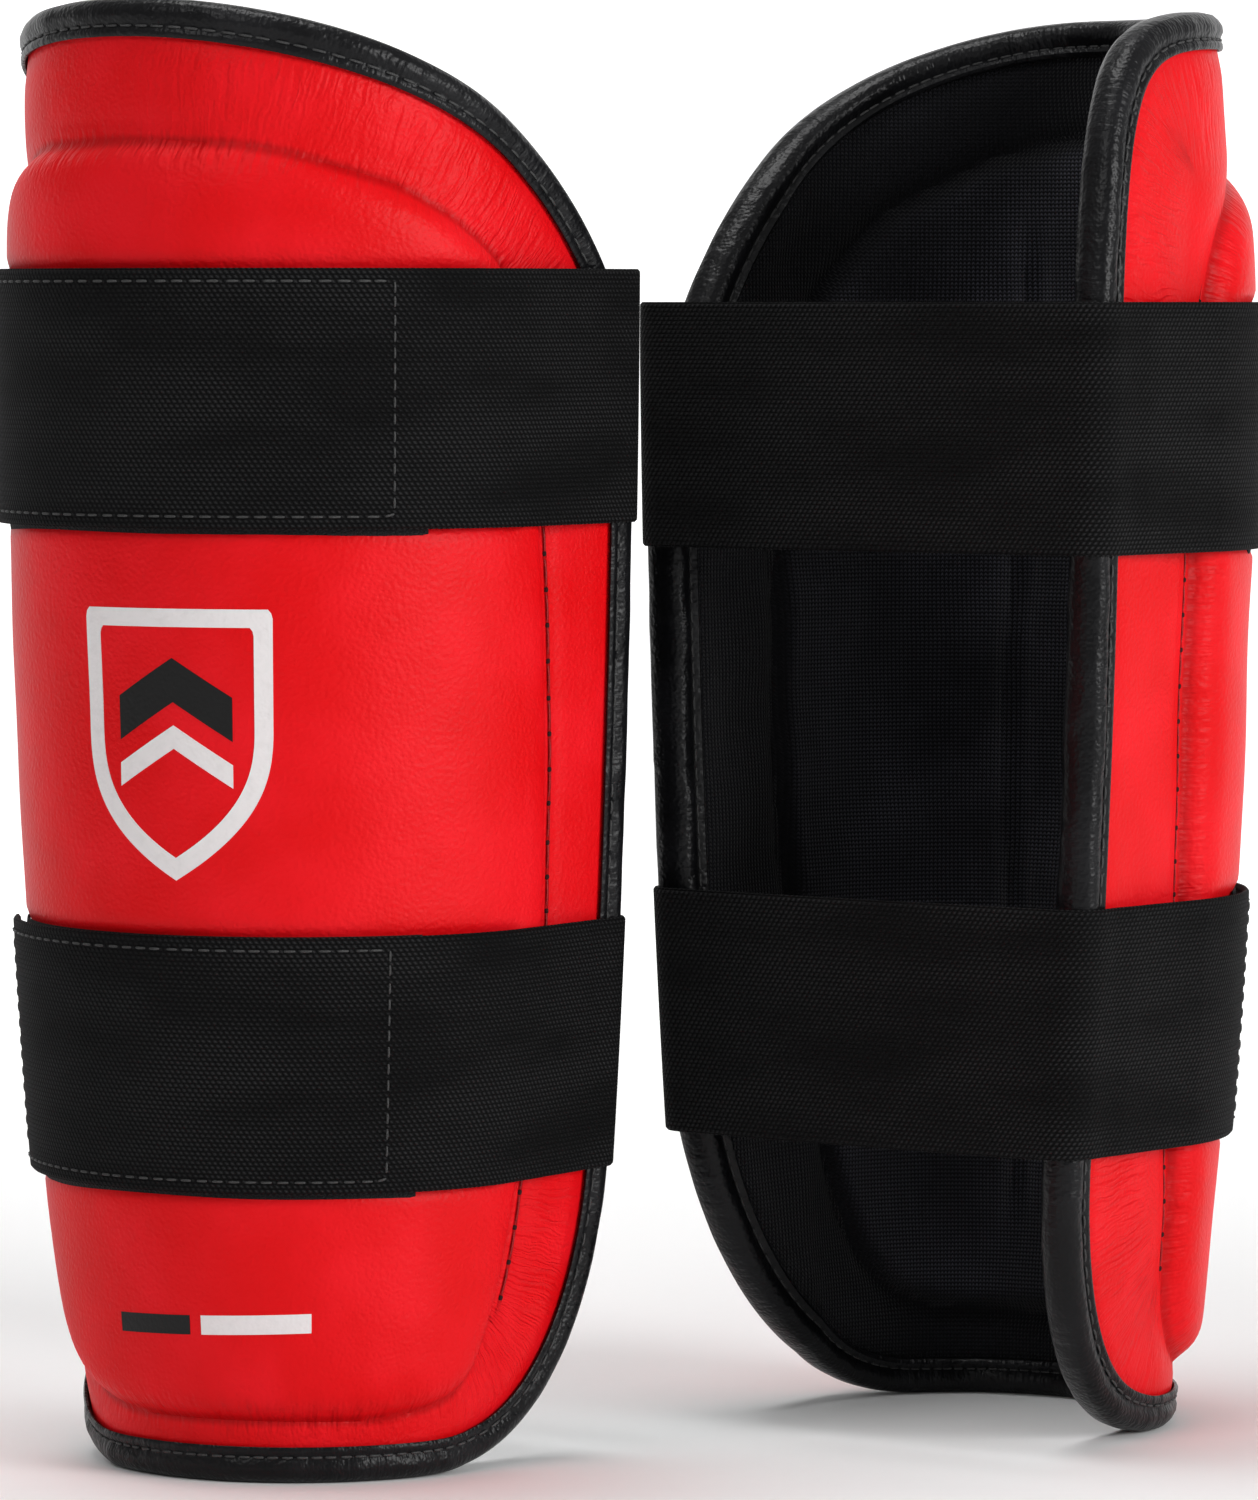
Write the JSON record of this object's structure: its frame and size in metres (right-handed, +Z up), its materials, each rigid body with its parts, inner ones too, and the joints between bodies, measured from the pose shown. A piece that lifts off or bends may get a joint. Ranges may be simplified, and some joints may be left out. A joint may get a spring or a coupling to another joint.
{
  "type": "padded shin guard pair",
  "caption": "Pair of padded youth shin guards: curved leather-covered foam shells with bound edges and elastic straps that close on the front.",
  "frame": {"origin": "on the surface the pair stands on, at the middle of the pair's bounding box", "axes": "+Z up along the shins, +X from the left guard to the right guard, -Y the side the pair is viewed from"},
  "size_m": [0.262, 0.1724, 0.2885],
  "materials": {
    "red_leather": "semi-gloss grained synthetic leather",
    "foam": "cut closed-cell foam",
    "cushion_foam": "cut soft foam",
    "lining_knit": "matt black knit",
    "black_leather": "satin black synthetic leather",
    "elastic": "ribbed woven elastic",
    "loop_tape": "brushed loop pile",
    "hook_tape": "hook tape"
  },
  "bodies": {
    "left_upper_band": {"left_upper_strap_band": "elastic"},
    "left_upper_tab": {"left_upper_strap_tab": "elastic", "left_upper_hook_patch": "hook_tape"},
    "left_lower_band": {"left_lower_strap_band": "elastic"},
    "left_lower_tab": {"left_lower_strap_tab": "elastic", "left_lower_hook_patch": "hook_tape"},
    "left_guard": {"left_cover": "red_leather", "left_front_pad": "foam", "left_base_foam": "foam", "left_calf_cushion": "cushion_foam", "left_lining": "lining_knit", "left_edge_binding": "black_leather", "left_upper_loop_patch": "loop_tape", "left_upper_strap_anchor": "elastic", "left_lower_loop_patch": "loop_tape", "left_lower_strap_anchor": "elastic"},
    "right_upper_band": {"right_upper_strap_band": "elastic"},
    "right_upper_tab": {"right_upper_strap_tab": "elastic", "right_upper_hook_patch": "hook_tape"},
    "right_lower_band": {"right_lower_strap_band": "elastic"},
    "right_lower_tab": {"right_lower_strap_tab": "elastic", "right_lower_hook_patch": "hook_tape"},
    "right_guard": {"right_cover": "red_leather", "right_front_pad": "foam", "right_base_foam": "foam", "right_calf_cushion": "cushion_foam", "right_lining": "lining_knit", "right_edge_binding": "black_leather", "right_upper_loop_patch": "loop_tape", "right_upper_strap_anchor": "elastic", "right_lower_loop_patch": "loop_tape", "right_lower_strap_anchor": "elastic"}
  },
  "joints": [
    {"name": "pair_spacing", "type": "slide", "parent": "left_guard", "child": "right_guard", "axis": [1, 0, 0], "range_m": [0, 0.15]},
    {"name": "left_upper_band_swing", "type": "hinge", "parent": "left_guard", "child": "left_upper_band", "pos_m": [-0.08769, 0.04496, 0.2115], "axis": [-0.0118, 0.0094, 0.9999], "range_deg": [0, 10]},
    {"name": "left_upper_tab_opening", "type": "hinge", "parent": "left_upper_band", "child": "left_upper_tab", "pos_m": [0.003, -0.02718, 0.2115], "axis": [0.0118, -0.0094, 0.9999], "range_deg": [0, 75]},
    {"name": "left_lower_band_swing", "type": "hinge", "parent": "left_guard", "child": "left_lower_band", "pos_m": [-0.08388, 0.04193, 0.083], "axis": [-0.0506, 0.0403, 0.9979], "range_deg": [0, 10]},
    {"name": "left_lower_tab_opening", "type": "hinge", "parent": "left_lower_band", "child": "left_lower_tab", "pos_m": [-0.0008, -0.02415, 0.083], "axis": [0.0506, -0.0403, 0.9979], "range_deg": [0, 75]},
    {"name": "right_upper_band_swing", "type": "hinge", "parent": "right_guard", "child": "right_upper_band", "pos_m": [-0.00302, 0.02426, 0.205], "axis": [0.0137, -0.01, -0.9999], "range_deg": [0, 10]},
    {"name": "right_upper_tab_opening", "type": "hinge", "parent": "right_upper_band", "child": "right_upper_tab", "pos_m": [0.09057, -0.04373, 0.205], "axis": [-0.0137, 0.01, -0.9999], "range_deg": [0, 75]},
    {"name": "right_lower_band_swing", "type": "hinge", "parent": "right_guard", "child": "right_lower_band", "pos_m": [0.00073, 0.02154, 0.085], "axis": [0.0516, -0.0375, -0.998], "range_deg": [0, 10]},
    {"name": "right_lower_tab_opening", "type": "hinge", "parent": "right_lower_band", "child": "right_lower_tab", "pos_m": [0.08682, -0.04101, 0.085], "axis": [-0.0516, 0.0375, -0.998], "range_deg": [0, 75]}
  ],
  "couplings": [
    {"joint": "left_upper_band_swing", "follows": "left_upper_tab_opening", "ratio": 0.13333},
    {"joint": "left_lower_band_swing", "follows": "left_lower_tab_opening", "ratio": 0.13333},
    {"joint": "right_upper_band_swing", "follows": "right_upper_tab_opening", "ratio": 0.13333},
    {"joint": "right_lower_band_swing", "follows": "right_lower_tab_opening", "ratio": 0.13333}
  ]
}
